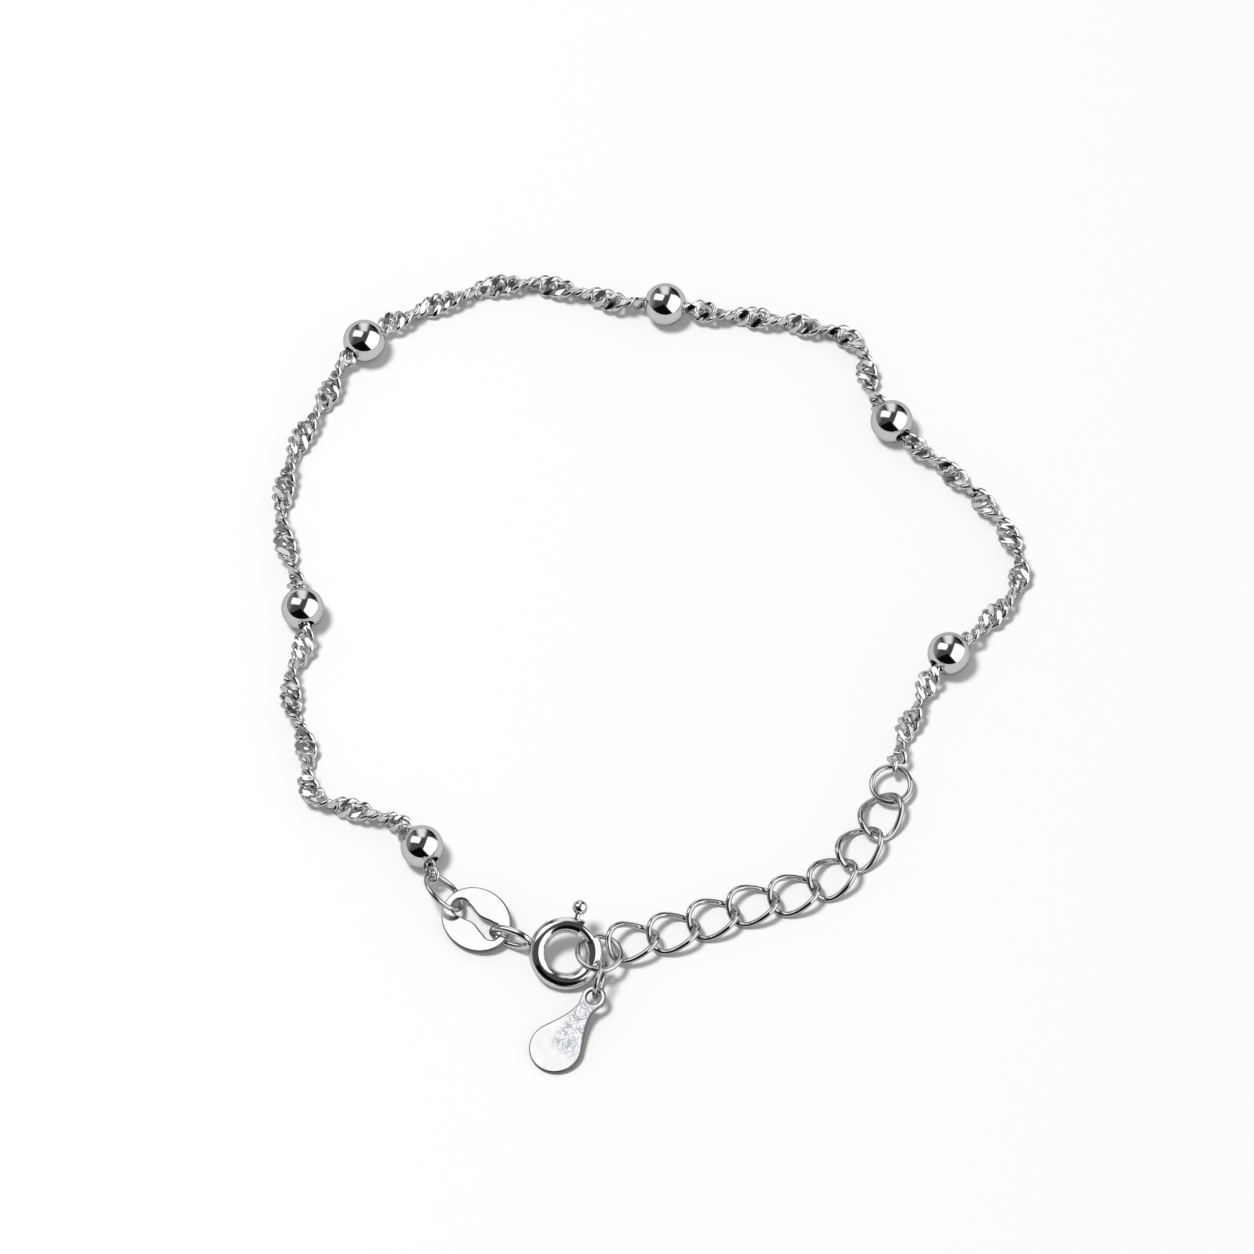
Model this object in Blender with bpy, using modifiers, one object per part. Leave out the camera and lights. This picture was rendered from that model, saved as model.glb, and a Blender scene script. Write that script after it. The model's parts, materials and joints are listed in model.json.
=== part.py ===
"""Chain bracelet with ball beads, a spring ring, an extender chain and two tags.

The bracelet lies closed on a flat surface. Units are metres, +Z is up, and the
origin is at the middle of its footprint, on the surface it lies on.
"""

import math

import bmesh
import bpy
from mathutils import Matrix, Vector

MM = 0.001

# Beads
BEAD_DIAMETER = 3.5 * MM
BEAD_BORE = 1.4 * MM
BEAD_SIDES = 14
BEAD_ARC_STEPS = 8

# Chain
CHAIN_DIAMETER = 1.5 * MM
CHAIN_IN_BEAD_DIAMETER = 0.8 * MM
CHAIN_FLOOR_GAP = 0.15 * MM
CHAIN_RISE_LENGTH = 3.2 * MM
CHAIN_STEP = 2.9 * MM
CHAIN_LEAD = 3.1 * MM
CHAIN_RESOLUTION = 2
END_LINK_LENGTH = 1.5 * MM
END_LINK_WIDTH = 1.4 * MM
END_LINK_WIRE = 0.3 * MM
LINK_GAP = 0.14 * MM
END_GAP = 0.25 * MM

# Extender
EXTENDER_LINK_COUNT = 9
EXTENDER_LINK_LENGTH = 4.5 * MM
EXTENDER_LINK_WIDTH = 3.6 * MM
EXTENDER_WIRE = 0.44 * MM
EXTENDER_END_TWIST = math.radians(40)
END_RING_DIAMETER = 3.6 * MM
END_RING_TILT = math.radians(6)
TURNED_LINK_GAP = 0.3 * MM
LAST_LINK_LENGTH = 3.9 * MM
LAST_LINK_WIDTH = 4.0 * MM
LAST_LINK_SLOPE = math.radians(8)
LAST_LINK_OFFSET = 0.36 * MM

# Spring ring
CLASP_DIAMETER = 6.0 * MM
CLASP_TUBE = 1.38 * MM
CLASP_WALL = 0.2 * MM
CLASP_TILT = math.radians(27)
MOUTH_START = math.radians(27)
MOUTH_END = math.radians(58)
TONGUE_DIAMETER = 0.66 * MM
TONGUE_REACH = math.radians(11)
TONGUE_TAIL = math.radians(9)
TRIGGER_ANGLE = math.radians(73)
TRIGGER_TRAVEL = math.radians(42)
KNOB_DIAMETER = 1.2 * MM
KNOB_STAND = 0.25 * MM
STEM_DIAMETER = 0.42 * MM
SLOT_CLEARANCE = 0.12 * MM
EYE_ANGLE = math.radians(164)
EYE_DROOP = math.radians(24)
EYE_LEAN = math.radians(37)
EYE_LENGTH = 4.0 * MM
EYE_HEIGHT = 2.4 * MM
EYE_WIRE = 0.5 * MM
SOLDER_DEPTH = 0.14 * MM

# Oval tag
OVAL_LENGTH = 6.1 * MM
OVAL_WIDTH = 5.2 * MM
OVAL_THICKNESS = 0.35 * MM
OVAL_HOLE_DIAMETER = 1.45 * MM
OVAL_HOLE_SPACING = 3.4 * MM
OVAL_WAIST = 0.75 * MM
OVAL_HOLE_OPENING = math.radians(120)
OVAL_HEADING = math.radians(138.5)
OVAL_SLOPE = math.radians(0.5)
OVAL_LEAN = math.radians(12)

# Ring between the chain and the oval tag
CHAIN_RING_DIAMETER = 4.1 * MM
CHAIN_RING_WIRE = 0.42 * MM
CHAIN_RING_LEAN = math.radians(48)
CHAIN_RING_FLOOR_GAP = 0.05 * MM

# Drop tag and its ring
DROP_RING_DIAMETER = 3.2 * MM
DROP_RING_WIRE = 0.4 * MM
DROP_RING_HEADING = math.radians(-108)
DROP_RING_FALL = math.radians(20)
DROP_RING_PLACE = math.radians(-110)
DROP_HANG_GAP = 0.16 * MM
DROP_HOLE_TO_BULB = 5.2 * MM
DROP_BULB_DIAMETER = 4.3 * MM
DROP_END_DIAMETER = 2.0 * MM
DROP_HOLE_DIAMETER = 1.15 * MM
DROP_NECK_WIDTH = 1.45 * MM
DROP_NECK_PLACE = 0.2
DROP_END_ARC = math.radians(75)
DROP_BULB_ARC = math.radians(118)
DROP_THICKNESS = 0.35 * MM
DROP_HEADING = math.radians(-127)
DROP_FLOOR_GAP = 0.03 * MM

# Facets
LINK_POINTS = 14
RING_POINTS = 16
OVAL_POINTS = 28
WIRE_RESOLUTION = 1
CLASP_STEPS = 24
CLASP_SIDES = 12
SLOT_STEPS = 6
TONGUE_STEPS = 11
TONGUE_RESOLUTION = 2
KNOB_SEGMENTS = 12
KNOB_RINGS = 8
HOLE_STEPS = 12
HOLE_SHOULDER_STEPS = 5
WAIST_STEPS = 3
BULB_STEPS = 8
DROP_SIDE_STEPS = 4
ROUTE_STEPS = 12
WAY_STEP = 0.3 * MM
WELD_DISTANCE = 0.001 * MM
SHARP_ANGLE = math.radians(40)

# Where the spring ring lies in plan.
CLASP_X = -6.81 * MM
CLASP_Y = -28.3 * MM

# Plan route of the chain in millimetres, chosen by eye from the clasp end round to
# the extender end. A 1 in the last column marks the place of a bead.
CHAIN_ROUTE = [
    (-17.47, -20.33, 0), (-18.53, -18.55, 1), (-20.3, -16.36, 0), (-22.74, -15.13, 0),
    (-26.0, -14.2, 0), (-27.36, -13.42, 0), (-28.04, -11.87, 0), (-27.96, -9.9, 0),
    (-28.29, -8.12, 0), (-29.14, -5.73, 0), (-29.4, -3.53, 0), (-29.35, -1.81, 0),
    (-28.65, -0.53, 0), (-28.21, 1.66, 0), (-28.46, 3.58, 1), (-29.37, 7.55, 0),
    (-30.32, 11.66, 0), (-30.26, 14.44, 0), (-29.77, 17.29, 0), (-28.95, 19.82, 0),
    (-27.72, 22.26, 0), (-26.65, 24.13, 0), (-25.75, 26.39, 0), (-23.63, 28.92, 1),
    (-21.62, 30.8, 0), (-17.88, 32.74, 0), (-14.76, 34.02, 0), (-11.48, 34.82, 0),
    (-8.16, 34.58, 0), (-5.47, 33.88, 0), (-2.87, 33.04, 0), (-0.95, 32.71, 0),
    (1.28, 32.42, 1), (3.9, 32.08, 0), (7.38, 31.73, 0), (10.42, 31.35, 0),
    (14.44, 30.39, 0), (16.93, 29.29, 0), (17.79, 27.04, 0), (18.34, 24.18, 0),
    (19.95, 21.25, 1), (21.48, 19.54, 0), (24.78, 16.81, 0), (27.45, 13.94, 0),
    (29.19, 11.47, 0), (30.3, 8.38, 0), (29.93, 5.85, 0), (28.04, 3.22, 0),
    (26.57, 1.58, 0), (24.44, -0.63, 1), (22.94, -2.51, 0), (21.98, -4.84, 0),
    (20.67, -7.75, 0), (20.21, -9.29, 0),
]

# Plan route of the extender in millimetres, from the link next to the clasp on.
EXTENDER_ROUTE = [
    (-0.97, -26.66), (2.28, -25.77), (5.54, -24.41), (8.89, -23.16), (12.22, -22.17),
    (15.17, -20.49), (17.38, -17.55), (19.07, -14.46), (19.89, -11.07), (20.0, -9.5),
]

# How far the first links are lifted off the surface towards the spring ring's height.
EXTENDER_LIFT = [1.0, 0.42, 0.1]

SILVER = {
    "bead_silver": ((0.93, 0.93, 0.94), 0.04),
    "chain_silver": ((0.9, 0.9, 0.91), 0.1),
    "clasp_silver": ((0.91, 0.91, 0.92), 0.06),
    "link_silver": ((0.9, 0.9, 0.91), 0.08),
    "tag_silver": ((0.95, 0.95, 0.95), 0.16),
}

# Sizes worked out from the dimensions above
BEAD_RADIUS = BEAD_DIAMETER / 2
BORE_MOUTH = math.sqrt(BEAD_RADIUS ** 2 - (BEAD_BORE / 2) ** 2)
BEAD_CLEARANCE = (BEAD_BORE - CHAIN_IN_BEAD_DIAMETER) / 2
CHAIN_HEIGHT = CHAIN_DIAMETER / 2 + CHAIN_FLOOR_GAP
CLASP_RADIUS = (CLASP_DIAMETER - CLASP_TUBE) / 2
CLASP_HEIGHT = CLASP_RADIUS * math.sin(CLASP_TILT) + CLASP_TUBE / 2
END_RING_RADIUS = (END_RING_DIAMETER - EXTENDER_WIRE) / 2
EXTENDER_SWING = (EXTENDER_LINK_WIDTH - EXTENDER_WIRE) / 4 * math.tan(EXTENDER_END_TWIST)
EXTENDER_HEIGHT = EXTENDER_SWING + EXTENDER_WIRE / 2


def clear_scene():
    for item in list(bpy.data.objects):
        bpy.data.objects.remove(item, do_unlink=True)


def new_collection(name):
    collection = bpy.data.collections.new(name)
    bpy.context.scene.collection.children.link(collection)
    return collection


def new_silver(name):
    colour, roughness = SILVER[name]
    material = bpy.data.materials.new(name)
    material.use_nodes = True
    shader = material.node_tree.nodes["Principled BSDF"]
    shader.inputs["Base Color"].default_value = (*colour, 1)
    shader.inputs["Metallic"].default_value = 1
    shader.inputs["Roughness"].default_value = roughness
    return material


def place(name, data, material, parent, matrix=None):
    piece = bpy.data.objects.new(name, data)
    data.materials.append(material)
    parts.objects.link(piece)
    piece.parent = parent
    piece.matrix_local = matrix or Matrix()
    return piece


def place_cutter(name, data, parent, matrix=None):
    cutter = bpy.data.objects.new(name, data)
    cutters.objects.link(cutter)
    cutter.parent = parent
    cutter.matrix_local = matrix or Matrix()
    cutter.hide_render = True
    cutter.display_type = "WIRE"
    return cutter


def place_empty(name, parent, matrix):
    empty = bpy.data.objects.new(name, None)
    parts.objects.link(empty)
    empty.parent = parent
    empty.matrix_local = matrix
    empty.empty_display_size = CLASP_DIAMETER
    return empty


def frame(origin, along, upward):
    """A matrix at origin with X along one direction and Z as near upward as it can be."""
    x_axis = along.normalized()
    y_axis = upward.cross(x_axis).normalized()
    z_axis = x_axis.cross(y_axis)
    turn = Matrix((x_axis, y_axis, z_axis)).transposed().to_4x4()
    return Matrix.Translation(origin) @ turn


def heading(angle, fall=0.0):
    """A unit vector that points along a plan angle and falls below the horizontal."""
    flat = math.cos(fall)
    return Vector((math.cos(angle) * flat, math.sin(angle) * flat, -math.sin(fall)))


def wire(name, points, diameter, closed, resolution=WIRE_RESOLUTION, shares=None):
    """A round wire along points, whose thickness can vary by a share at each point."""
    curve = bpy.data.curves.new(name, "CURVE")
    curve.dimensions = "3D"
    curve.bevel_depth = diameter / 2
    curve.bevel_resolution = resolution
    curve.use_fill_caps = not closed
    spline = curve.splines.new("POLY")
    spline.points.add(len(points) - 1)
    for index, point in enumerate(points):
        spline.points[index].co = (*point, 1)
        if shares:
            spline.points[index].radius = shares[index]
    spline.use_cyclic_u = closed
    return curve


def loop_points(length, width, diameter, end_twist=0.0, count=LINK_POINTS):
    """The centre line of a link, with its two ends rolled opposite ways by end_twist."""
    half_length = (length - diameter) / 2
    half_width = (width - diameter) / 2
    rise = math.tan(end_twist) / half_length
    points = []
    for step in range(count):
        angle = 2 * math.pi * step / count
        x = half_length * math.cos(angle)
        y = half_width * math.sin(angle)
        points.append(Vector((x, y, -rise * x * y)))
    return points


def arc_points(radius, start, end, count, centre=(0.0, 0.0)):
    points = []
    for step in range(count + 1):
        angle = start + (end - start) * step / count
        x = centre[0] + radius * math.cos(angle)
        y = centre[1] + radius * math.sin(angle)
        points.append(Vector((x, y, 0)))
    return points


def flat_plate(name, outlines, thickness):
    """A flat plate from closed outlines, where an outline inside another is a hole."""
    curve = bpy.data.curves.new(name, "CURVE")
    curve.dimensions = "2D"
    curve.fill_mode = "BOTH"
    curve.extrude = thickness / 2
    for outline in outlines:
        spline = curve.splines.new("POLY")
        spline.points.add(len(outline) - 1)
        for index, point in enumerate(outline):
            spline.points[index].co = (point.x, point.y, 0, 1)
        spline.use_cyclic_u = True
    return curve


def curve_to_mesh(curve):
    """A welded mesh of a curve, so that it can be cut or joined."""
    carrier = bpy.data.objects.new(curve.name, curve)
    cutters.objects.link(carrier)
    bpy.context.view_layer.update()
    seen = carrier.evaluated_get(bpy.context.evaluated_depsgraph_get())
    mesh = bpy.data.meshes.new_from_object(seen)
    bpy.data.objects.remove(carrier, do_unlink=True)
    work = bmesh.new()
    work.from_mesh(mesh)
    bmesh.ops.remove_doubles(work, verts=work.verts, dist=WELD_DISTANCE)
    work.to_mesh(mesh)
    work.free()
    return mesh


def join_solid(piece, other, operation):
    modifier = piece.modifiers.new(other.name, "BOOLEAN")
    modifier.operation = operation
    modifier.object = other
    modifier.solver = "EXACT"


def smooth_line(points):
    """A dense smooth line through points, as pairs of the length so far and the place."""
    padded = [points[0] * 2 - points[1]] + points + [points[-1] * 2 - points[-2]]
    places = []
    for before, start, end, after in zip(padded, padded[1:], padded[2:], padded[3:]):
        leave = (end - before) / 2
        arrive = (after - start) / 2
        for step in range(ROUTE_STEPS):
            t = step / ROUTE_STEPS
            near = start * (2 * t ** 3 - 3 * t ** 2 + 1) + leave * (t ** 3 - 2 * t ** 2 + t)
            far = end * (3 * t ** 2 - 2 * t ** 3) + arrive * (t ** 3 - t ** 2)
            places.append(near + far)
    places.append(points[-1])
    lengths = [0.0]
    for first, second in zip(places, places[1:]):
        lengths.append(lengths[-1] + (second - first).length)
    return list(zip(lengths, places))


def place_on(line, length):
    """The place at a length along a dense line, carried straight on past its end."""
    for (low, start), (high, end) in zip(line, line[1:]):
        if length <= high:
            break
    return start + (end - start) * ((length - low) / (high - low))


def way_on(line, length):
    """The direction of a dense line at a length along it."""
    return (place_on(line, length + WAY_STEP) - place_on(line, length - WAY_STEP)).normalized()


def with_height(point, height):
    return Vector((point.x, point.y, height))


def bead_mesh():
    """The turned profile of a drilled ball, with its bore along Z."""
    mouth = math.acos(BEAD_BORE / BEAD_DIAMETER)
    work = bmesh.new()
    verts = []
    for step in range(BEAD_ARC_STEPS + 1):
        angle = mouth - 2 * mouth * step / BEAD_ARC_STEPS
        x = BEAD_RADIUS * math.cos(angle)
        z = BEAD_RADIUS * math.sin(angle)
        verts.append(work.verts.new((x, 0, z)))
    for first, second in zip(verts, verts[1:] + verts[:1]):
        work.edges.new((first, second))
    mesh = bpy.data.meshes.new("bead_profile")
    work.to_mesh(mesh)
    work.free()
    return mesh


def turn_profile(piece, angle, steps):
    screw = piece.modifiers.new("turn", "SCREW")
    screw.angle = angle
    screw.steps = steps
    screw.render_steps = steps
    screw.use_merge_vertices = angle >= 2 * math.pi
    screw.merge_threshold = WELD_DISTANCE
    screw.use_smooth_shade = True


def build_bead(name, centre, way, root, material):
    """A drilled ball whose bore lies along way, with a row of its corners at the bottom."""
    side = Vector((0, 0, 1)).cross(way).normalized()
    turn = Matrix((Vector((0, 0, 1)), -side, way)).transposed().to_4x4()
    bead = place(name, bead_mesh(), material, root, Matrix.Translation(centre) @ turn)
    turn_profile(bead, 2 * math.pi, BEAD_SIDES)


def chain_line(end_place):
    """The dense plan line of the chain and the lengths along it at which beads sit."""
    route = [Vector((x * MM, y * MM, 0)) for x, y, bead in CHAIN_ROUTE]
    route[-1] = with_height(end_place, 0)
    line = smooth_line(route)
    stops = []
    for index, (x, y, bead) in enumerate(CHAIN_ROUTE):
        if bead:
            stops.append(line[index * ROUTE_STEPS][0])
    return line, stops


def chain_lift(length, stops):
    """The height of the chain's centre line, which climbs to each bead's bore."""
    nearest = min(abs(length - stop) for stop in stops)
    share = math.exp(-(nearest / CHAIN_RISE_LENGTH) ** 2)
    return CHAIN_HEIGHT + (BEAD_RADIUS - CHAIN_HEIGHT) * share


def build_chain(line, stops, start, end, root, material):
    """The chain as one tube that narrows through each bead's bore."""
    thin = CHAIN_IN_BEAD_DIAMETER / CHAIN_DIAMETER
    neck = BORE_MOUTH + BEAD_CLEARANCE / 3
    shoulder = neck + BEAD_CLEARANCE
    points = [start]
    shares = [thin]
    for index, stop in enumerate(stops):
        centre = with_height(place_on(line, stop), BEAD_RADIUS)
        way = way_on(line, stop)
        offsets = [(neck, thin), (shoulder, 1.0)]
        if index > 0:
            offsets = [(-shoulder, 1.0), (-neck, thin)] + offsets
        for offset, share in offsets:
            points.append(centre + way * offset)
            shares.append(share)
        first = stop + CHAIN_LEAD
        last = line[-1][0] - CHAIN_STEP / 2
        if index + 1 < len(stops):
            last = stops[index + 1] - CHAIN_LEAD
        count = math.ceil((last - first) / CHAIN_STEP)
        for step in range(count + 1):
            length = first + (last - first) * step / count
            points.append(with_height(place_on(line, length), chain_lift(length, stops)))
            shares.append(1.0)
    points.append(end)
    shares.append(thin)
    curve = wire("chain", points, CHAIN_DIAMETER, False, CHAIN_RESOLUTION, shares)
    place("chain", curve, material, root)


def build_loop(name, matrix, length, width, diameter, root, material, end_twist=0.0):
    count = RING_POINTS if length == width else LINK_POINTS
    points = loop_points(length, width, diameter, end_twist, count)
    return place(name, wire(name, points, diameter, True), material, root, matrix)


def extender_places():
    """The centres of the extender's links, from the spring ring on, and of its end ring."""
    seat = Vector((CLASP_X + CLASP_RADIUS + LAST_LINK_OFFSET, CLASP_Y, 0))
    route = [seat] + [Vector((x * MM, y * MM, 0)) for x, y in EXTENDER_ROUTE]
    line = smooth_line(route)
    overlap = 2 * EXTENDER_WIRE + LINK_GAP
    end_overlap = 2 * EXTENDER_WIRE + TURNED_LINK_GAP
    lengths = [0.0, (LAST_LINK_LENGTH + EXTENDER_LINK_LENGTH) / 2 - end_overlap]
    for index in range(EXTENDER_LINK_COUNT - 2):
        lengths.append(lengths[-1] + EXTENDER_LINK_LENGTH - overlap)
    ring_pitch = (EXTENDER_LINK_LENGTH + END_RING_DIAMETER) / 2 - end_overlap
    lengths.append(lengths[-1] + ring_pitch)
    lifts = EXTENDER_LIFT + [0.0] * len(lengths)
    places = []
    for length, lift in zip(lengths, lifts):
        height = EXTENDER_HEIGHT + (CLASP_HEIGHT - EXTENDER_HEIGHT) * lift
        places.append(with_height(place_on(line, length), height))
    return places


def build_extender(places, root, material):
    """The curb links, the wide link on the spring ring and the round end ring."""
    up = Vector((0, 0, 1))
    last_up = Vector((0, math.sin(LAST_LINK_SLOPE), math.cos(LAST_LINK_SLOPE)))
    last = frame(places[0], places[1] - places[0], last_up)
    build_loop("extender_link_1", last, LAST_LINK_LENGTH, LAST_LINK_WIDTH, EXTENDER_WIRE,
               root, material)
    for index in range(1, EXTENDER_LINK_COUNT):
        matrix = frame(places[index], places[index + 1] - places[index - 1], up)
        build_loop(f"extender_link_{index + 1}", matrix, EXTENDER_LINK_LENGTH,
                   EXTENDER_LINK_WIDTH, EXTENDER_WIRE, root, material, EXTENDER_END_TWIST)
    tilt = Matrix.Rotation(END_RING_TILT, 4, "X")
    lifted = places[-1] + up * END_RING_RADIUS * math.sin(END_RING_TILT)
    ring = Matrix.Translation(lifted) @ tilt
    build_loop("end_ring", ring, END_RING_DIAMETER, END_RING_DIAMETER, EXTENDER_WIRE,
               root, material)
    return last, ring


def clasp_profile():
    """The tube's round section at the mouth's upper end, ready to turn round the axis."""
    work = bmesh.new()
    verts = []
    for step in range(CLASP_SIDES):
        angle = 2 * math.pi * step / CLASP_SIDES
        x = CLASP_RADIUS + CLASP_TUBE / 2 * math.cos(angle)
        z = -CLASP_TUBE / 2 * math.sin(angle)
        verts.append(work.verts.new((x, 0, z)))
    for first, second in zip(verts, verts[1:] + verts[:1]):
        work.edges.new((first, second))
    mesh = bpy.data.meshes.new("clasp_section")
    work.to_mesh(mesh)
    work.free()
    mesh.transform(Matrix.Rotation(MOUTH_END, 4, "Z"))
    return mesh


def eye_frame():
    """Where the soldered eye sits in the spring ring's frame, and its far end's centre."""
    way = heading(EYE_ANGLE, EYE_DROOP)
    seat = heading(EYE_ANGLE) * CLASP_RADIUS
    near = seat + way * (CLASP_TUBE / 2 + EYE_WIRE / 2 - SOLDER_DEPTH)
    reach = EYE_LENGTH - EYE_WIRE
    lean = Vector((0, math.sin(EYE_LEAN), math.cos(EYE_LEAN)))
    matrix = frame(near + way * reach / 2, way, lean.cross(way))
    return matrix, near + way * reach


def build_clasp(axis, material):
    """The hollow ring with its mouth, trigger slot and soldered eye, as one solid."""
    ring = place("clasp_ring", clasp_profile(), material, axis)
    turn_profile(ring, 2 * math.pi - (MOUTH_END - MOUTH_START), CLASP_STEPS)
    wall = ring.modifiers.new("wall", "SOLIDIFY")
    wall.thickness = CLASP_WALL
    wall.offset = -1
    half_slot = STEM_DIAMETER / 2 + SLOT_CLEARANCE
    outside = CLASP_DIAMETER / 2 + CLASP_WALL
    margin = half_slot / CLASP_RADIUS
    slot_start = TRIGGER_ANGLE - margin
    slot_end = TRIGGER_ANGLE + TRIGGER_TRAVEL + margin
    outer = arc_points(outside, slot_start, slot_end, SLOT_STEPS)
    inner = arc_points(CLASP_RADIUS, slot_end, slot_start, SLOT_STEPS)
    slot = curve_to_mesh(flat_plate("trigger_slot", [outer + inner], 2 * half_slot))
    join_solid(ring, place_cutter("trigger_slot", slot, axis), "DIFFERENCE")
    matrix, far_end = eye_frame()
    points = loop_points(EYE_LENGTH, EYE_HEIGHT, EYE_WIRE, 0.0, RING_POINTS)
    eye = curve_to_mesh(wire("clasp_eye", points, EYE_WIRE, True))
    join_solid(ring, place_cutter("clasp_eye", eye, axis, matrix), "UNION")
    return far_end


def build_trigger(axis, material):
    """The sliding tongue with its stem and knob, as one solid about the ring's axis."""
    start = MOUTH_START - TONGUE_REACH
    end = TRIGGER_ANGLE + TONGUE_TAIL
    points = arc_points(CLASP_RADIUS, start, end, TONGUE_STEPS)
    tongue = curve_to_mesh(wire("tongue", points, TONGUE_DIAMETER, False, TONGUE_RESOLUTION))
    trigger = place("clasp_trigger", tongue, material, axis)
    knob_place = CLASP_DIAMETER / 2 + KNOB_STAND + KNOB_DIAMETER / 2
    way = heading(TRIGGER_ANGLE)
    stem_points = [way * CLASP_RADIUS, way * knob_place]
    stem = curve_to_mesh(wire("trigger_stem", stem_points, STEM_DIAMETER, False))
    join_solid(trigger, place_cutter("trigger_stem", stem, axis), "UNION")
    work = bmesh.new()
    bmesh.ops.create_uvsphere(work, u_segments=KNOB_SEGMENTS, v_segments=KNOB_RINGS,
                              radius=KNOB_DIAMETER / 2)
    knob = bpy.data.meshes.new("trigger_knob")
    work.to_mesh(knob)
    work.free()
    matrix = frame(way * knob_place, Vector((0, 0, 1)), way)
    join_solid(trigger, place_cutter("trigger_knob", knob, axis, matrix), "UNION")


def blend_side(start, end, count, end_slope=0.0):
    """Points between two places, level at the first and at a slope at the second."""
    run = end.x - start.x
    points = []
    for step in range(1, count):
        t = step / count
        rise = (end.y - start.y) * t * t * (3 - 2 * t) + end_slope * run * t * t * (t - 1)
        points.append(Vector((start.x + run * t, start.y + rise, 0)))
    return points


def mirrored(points):
    return [Vector((point.x, -point.y, 0)) for point in reversed(points)]


def oval_outlines():
    """The oval's rim, and the slot of two round holes joined by a narrower waist."""
    rim = []
    for step in range(OVAL_POINTS):
        angle = 2 * math.pi * step / OVAL_POINTS
        rim.append(Vector((OVAL_LENGTH / 2 * math.cos(angle),
                           OVAL_WIDTH / 2 * math.sin(angle), 0)))
    hole_centre = (OVAL_HOLE_SPACING / 2, 0)
    right = arc_points(OVAL_HOLE_DIAMETER / 2, 0, OVAL_HOLE_OPENING, HOLE_SHOULDER_STEPS,
                       hole_centre)
    waist = Vector((0, OVAL_WAIST / 2, 0))
    quarter = right + blend_side(right[-1], waist, WAIST_STEPS) + [waist]
    left = [Vector((-point.x, point.y, 0)) for point in reversed(quarter[:-1])]
    upper = quarter + left
    return [rim, upper + mirrored(upper)[1:-1]]


def build_oval(clasp_matrix, eye_end, root, material):
    """The slotted oval tag, whose one hole hangs on the spring ring's eye."""
    eye_hole = clasp_matrix @ eye_end
    along = heading(OVAL_HEADING, OVAL_SLOPE)
    side = Vector((0, 0, 1)).cross(along)
    upward = Vector((0, 0, math.cos(OVAL_LEAN))) + side * math.sin(OVAL_LEAN)
    matrix = frame(eye_hole + along * OVAL_HOLE_SPACING / 2, along, upward)
    plate = flat_plate("oval_tag", oval_outlines(), OVAL_THICKNESS)
    place("oval_tag", plate, material, root, matrix)
    return eye_hole + along * OVAL_HOLE_SPACING


def build_chain_ring(tag_hole, bead_place, root, material):
    """The ring through the oval tag's other hole, leaning so that it passes over and under."""
    radius = (CHAIN_RING_DIAMETER - CHAIN_RING_WIRE) / 2
    height = (radius * math.sin(CHAIN_RING_LEAN) + CHAIN_RING_WIRE / 2
              + CHAIN_RING_FLOOR_GAP)
    away = with_height(bead_place - tag_hole, 0).normalized()
    left = Vector((0, 0, 1)).cross(away)
    leaning = left * math.cos(CHAIN_RING_LEAN) + Vector((0, 0, math.sin(CHAIN_RING_LEAN)))
    dip = math.asin((tag_hole.z - height) / (radius * math.sin(CHAIN_RING_LEAN)))
    back = -away * math.cos(dip) + left * math.cos(CHAIN_RING_LEAN) * math.sin(dip)
    centre = with_height(tag_hole - back * radius, height)
    matrix = frame(centre, away, away.cross(leaning))
    build_loop("chain_ring", matrix, CHAIN_RING_DIAMETER, CHAIN_RING_DIAMETER,
               CHAIN_RING_WIRE, root, material)
    return centre + away * radius, leaning


def build_end_link(name, ring_point, ring_way, ring_wire, target, root, material):
    """A small link that hangs on a ring at one point and reaches towards the chain."""
    along = (target - ring_point).normalized()
    reach = (END_LINK_LENGTH - END_LINK_WIRE) / 2
    inset = reach - END_LINK_WIRE / 2 - ring_wire / 2 - LINK_GAP
    matrix = frame(ring_point + along * inset, along, ring_way)
    build_loop(name, matrix, END_LINK_LENGTH, END_LINK_WIDTH, END_LINK_WIRE, root, material)
    return ring_point + along * (inset + reach + END_LINK_WIRE / 2 + END_GAP)


def drop_outlines():
    """The drop tag's rim, from its holed end at the origin to its round bulb, and its hole."""
    end_arc = arc_points(DROP_END_DIAMETER / 2, math.pi, DROP_END_ARC, HOLE_SHOULDER_STEPS)
    neck = Vector((DROP_HOLE_TO_BULB * DROP_NECK_PLACE, DROP_NECK_WIDTH / 2, 0))
    bulb_centre = (DROP_HOLE_TO_BULB, 0)
    bulb_arc = arc_points(DROP_BULB_DIAMETER / 2, DROP_BULB_ARC, 0, BULB_STEPS, bulb_centre)
    bulb_slope = -1 / math.tan(DROP_BULB_ARC)
    side = blend_side(neck, bulb_arc[0], DROP_SIDE_STEPS, bulb_slope)
    upper = end_arc + [neck] + side + bulb_arc
    hole = arc_points(DROP_HOLE_DIAMETER / 2, 0, 2 * math.pi, HOLE_STEPS)[:-1]
    return [upper + mirrored(upper)[1:-1], hole]


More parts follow.
